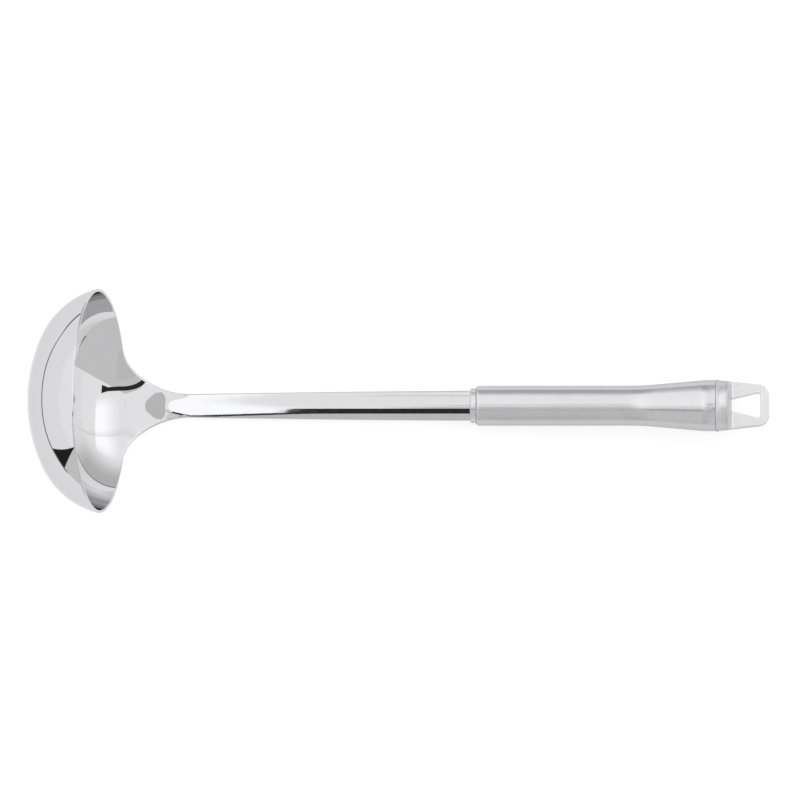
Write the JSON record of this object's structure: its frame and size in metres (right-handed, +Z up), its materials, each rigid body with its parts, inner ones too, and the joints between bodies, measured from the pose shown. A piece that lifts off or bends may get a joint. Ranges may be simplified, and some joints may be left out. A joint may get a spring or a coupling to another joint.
{
  "type": "ladle",
  "caption": "Stainless steel ladle with a round pressed bowl, a crowned shank, a hollow round handle that swells towards its end, and a flat hanging loop.",
  "frame": {"origin": "middle of the bounding box's underside, on the surface that the ladle lies on", "axes": "the ladle lies on its back: +X towards the hanging loop with the bowl at -X, +Z up, towards the side that the bowl faces a little, +Y across"},
  "size_m": [0.3318, 0.1, 0.0989],
  "materials": {
    "polished_steel": "stainless steel sheet, mirror polished, not plated",
    "satin_steel": "satin, brushed around the handle",
    "cast_steel": "fine satin, brushed along the loop",
    "bush_plastic": "moulded nylon"
  },
  "bodies": {
    "root": {"bowl_and_shank": "polished_steel", "front_collar": "satin_steel", "tang_bush": "bush_plastic", "handle_tube": "satin_steel", "end_collar": "satin_steel", "hanging_loop": "cast_steel"}
  },
  "joints": []
}
